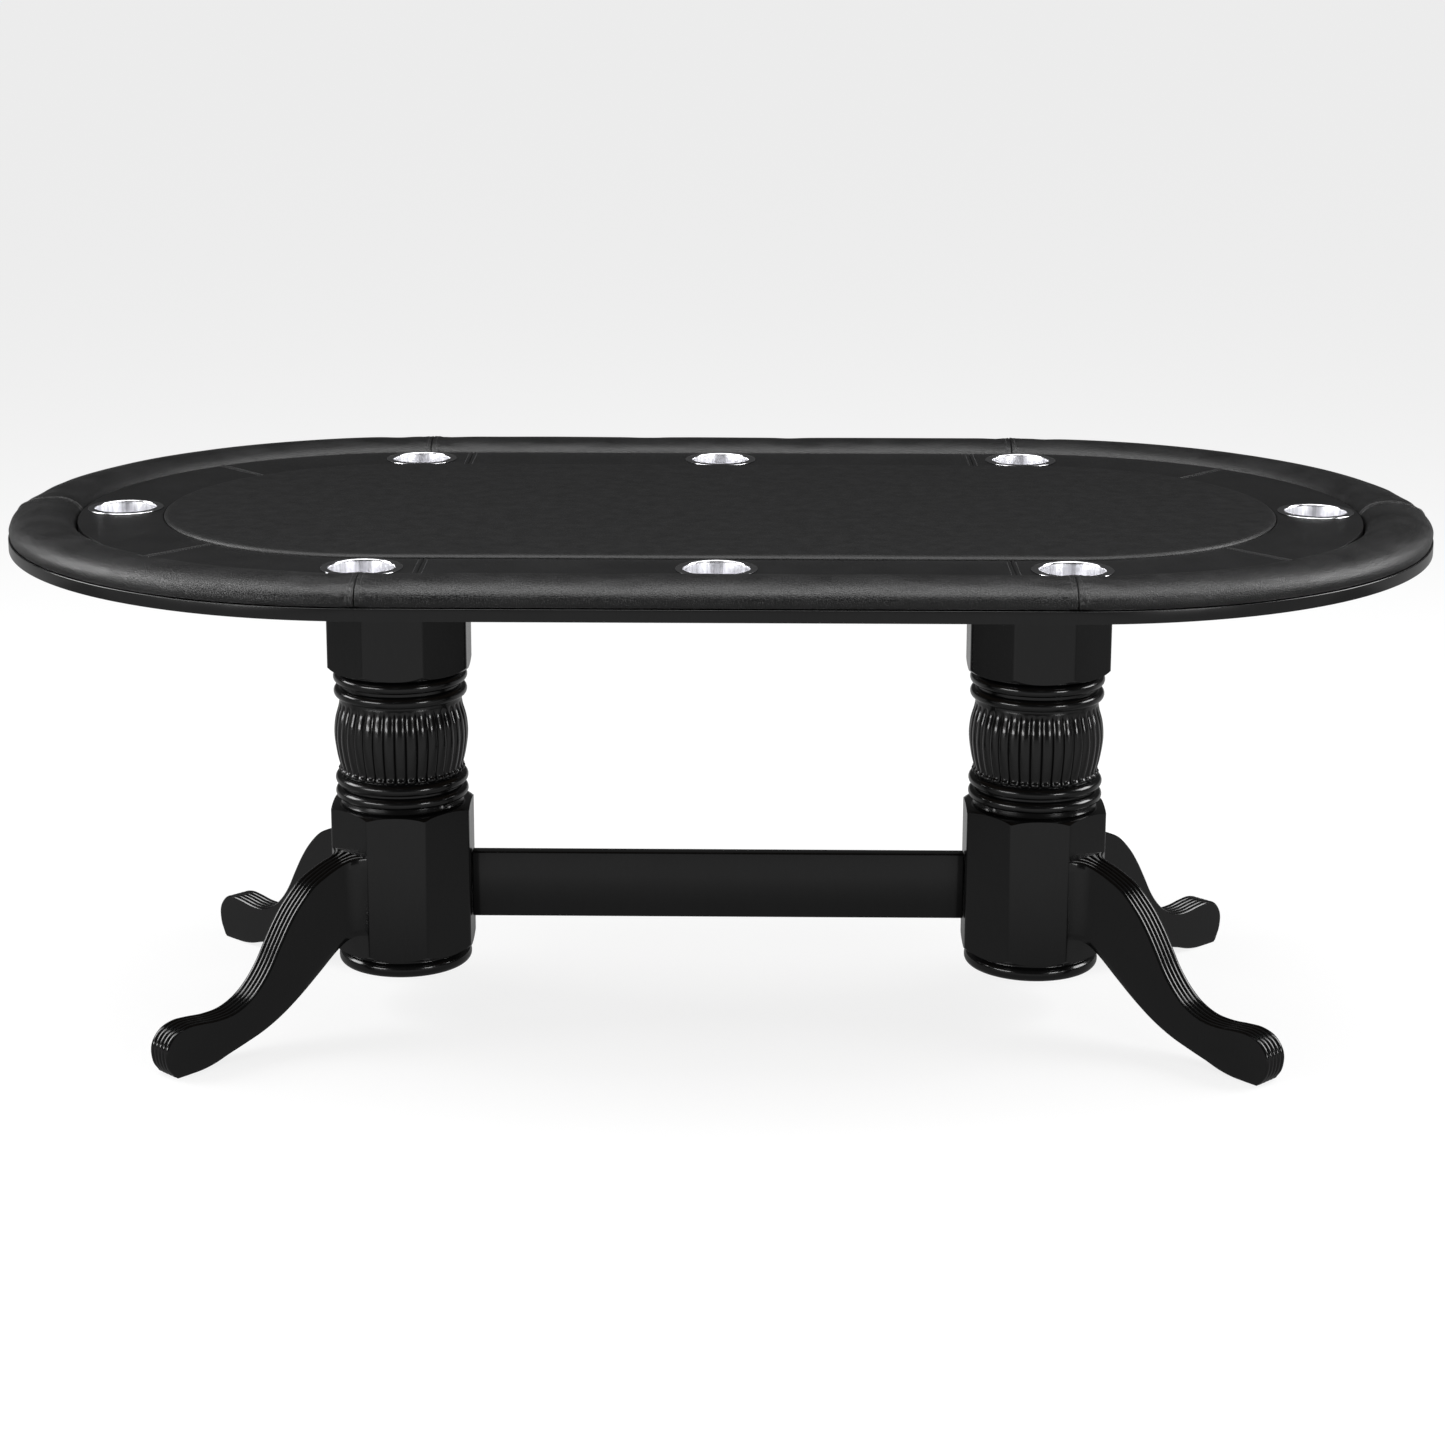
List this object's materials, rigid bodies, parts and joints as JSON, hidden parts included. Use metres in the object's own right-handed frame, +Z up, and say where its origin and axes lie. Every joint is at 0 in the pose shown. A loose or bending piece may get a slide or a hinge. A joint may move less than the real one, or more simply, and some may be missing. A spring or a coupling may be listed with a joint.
{
  "type": "poker table",
  "caption": "Oval poker table with a padded rail, a racetrack with drop-in cup holders, a raised play surface and turned pedestals with S-shaped legs.",
  "frame": {"origin": "centre of the footprint, on the floor", "axes": "+X along the table's length, +Y towards its rear side, +Z up"},
  "size_m": [2.032, 1.11, 0.768],
  "materials": {
    "rail_vinyl": "pebbled vinyl, satin",
    "racetrack_vinyl": "smooth vinyl, satin",
    "play_vinyl": "mottled suede-like vinyl",
    "black_lacquer": "black lacquer over wood",
    "raw_board": "bare plywood, hidden",
    "cup_steel": "brushed stainless",
    "zinc_steel": "zinc plated"
  },
  "bodies": {
    "table": {"rail_band_front": "black_lacquer", "rail_band_rear": "black_lacquer", "rail_band_left_end": "black_lacquer", "rail_band_right_end": "black_lacquer", "rail_pad_front": "rail_vinyl", "rail_pad_rear": "rail_vinyl", "rail_pad_front_left": "rail_vinyl", "rail_pad_front_right": "rail_vinyl", "rail_pad_rear_left": "rail_vinyl", "rail_pad_rear_right": "rail_vinyl", "racetrack_front_left": "racetrack_vinyl", "racetrack_front_middle": "racetrack_vinyl", "racetrack_front_right": "racetrack_vinyl", "racetrack_rear_left": "racetrack_vinyl", "racetrack_rear_middle": "racetrack_vinyl", "racetrack_rear_right": "racetrack_vinyl", "racetrack_left_end": "racetrack_vinyl", "racetrack_right_end": "racetrack_vinyl", "under_board": "raw_board", "play_board": "raw_board", "play_pad": "play_vinyl", "cross_rail_left_outer": "raw_board", "cross_rail_left_inner": "raw_board", "cross_rail_right_outer": "raw_board", "cross_rail_right_inner": "raw_board", "left_base_ring": "black_lacquer", "left_lower_block": "black_lacquer", "left_turned_column": "black_lacquer", "left_upper_block": "black_lacquer", "left_mounting_plate": "raw_board", "left_tie_rod": "zinc_steel", "leg_front_left": "black_lacquer", "leg_bolt_front_left_low": "zinc_steel", "leg_bolt_front_left_high": "zinc_steel", "leg_rear_left": "black_lacquer", "leg_bolt_rear_left_low": "zinc_steel", "leg_bolt_rear_left_high": "zinc_steel", "right_base_ring": "black_lacquer", "right_lower_block": "black_lacquer", "right_turned_column": "black_lacquer", "right_upper_block": "black_lacquer", "right_mounting_plate": "raw_board", "right_tie_rod": "zinc_steel", "leg_front_right": "black_lacquer", "leg_bolt_front_right_low": "zinc_steel", "leg_bolt_front_right_high": "zinc_steel", "leg_rear_right": "black_lacquer", "leg_bolt_rear_right_low": "zinc_steel", "leg_bolt_rear_right_high": "zinc_steel", "stretcher": "black_lacquer", "stretcher_bolt_left": "zinc_steel", "stretcher_bolt_right": "zinc_steel"},
    "cup_front_left_body": {"cup_front_left": "cup_steel"},
    "cup_front_middle_body": {"cup_front_middle": "cup_steel"},
    "cup_front_right_body": {"cup_front_right": "cup_steel"},
    "cup_rear_left_body": {"cup_rear_left": "cup_steel"},
    "cup_rear_middle_body": {"cup_rear_middle": "cup_steel"},
    "cup_rear_right_body": {"cup_rear_right": "cup_steel"},
    "cup_left_end_body": {"cup_left_end": "cup_steel"},
    "cup_right_end_body": {"cup_right_end": "cup_steel"}
  },
  "joints": [
    {"name": "cup_front_left_lift", "type": "slide", "parent": "table", "child": "cup_front_left_body", "axis": [0, 0, 1], "range_m": [0, 0.08]},
    {"name": "cup_front_middle_lift", "type": "slide", "parent": "table", "child": "cup_front_middle_body", "axis": [0, 0, 1], "range_m": [0, 0.08]},
    {"name": "cup_front_right_lift", "type": "slide", "parent": "table", "child": "cup_front_right_body", "axis": [0, 0, 1], "range_m": [0, 0.08]},
    {"name": "cup_rear_left_lift", "type": "slide", "parent": "table", "child": "cup_rear_left_body", "axis": [0, 0, 1], "range_m": [0, 0.08]},
    {"name": "cup_rear_middle_lift", "type": "slide", "parent": "table", "child": "cup_rear_middle_body", "axis": [0, 0, 1], "range_m": [0, 0.08]},
    {"name": "cup_rear_right_lift", "type": "slide", "parent": "table", "child": "cup_rear_right_body", "axis": [0, 0, 1], "range_m": [0, 0.08]},
    {"name": "cup_left_end_lift", "type": "slide", "parent": "table", "child": "cup_left_end_body", "axis": [0, 0, 1], "range_m": [0, 0.08]},
    {"name": "cup_right_end_lift", "type": "slide", "parent": "table", "child": "cup_right_end_body", "axis": [0, 0, 1], "range_m": [0, 0.08]}
  ]
}
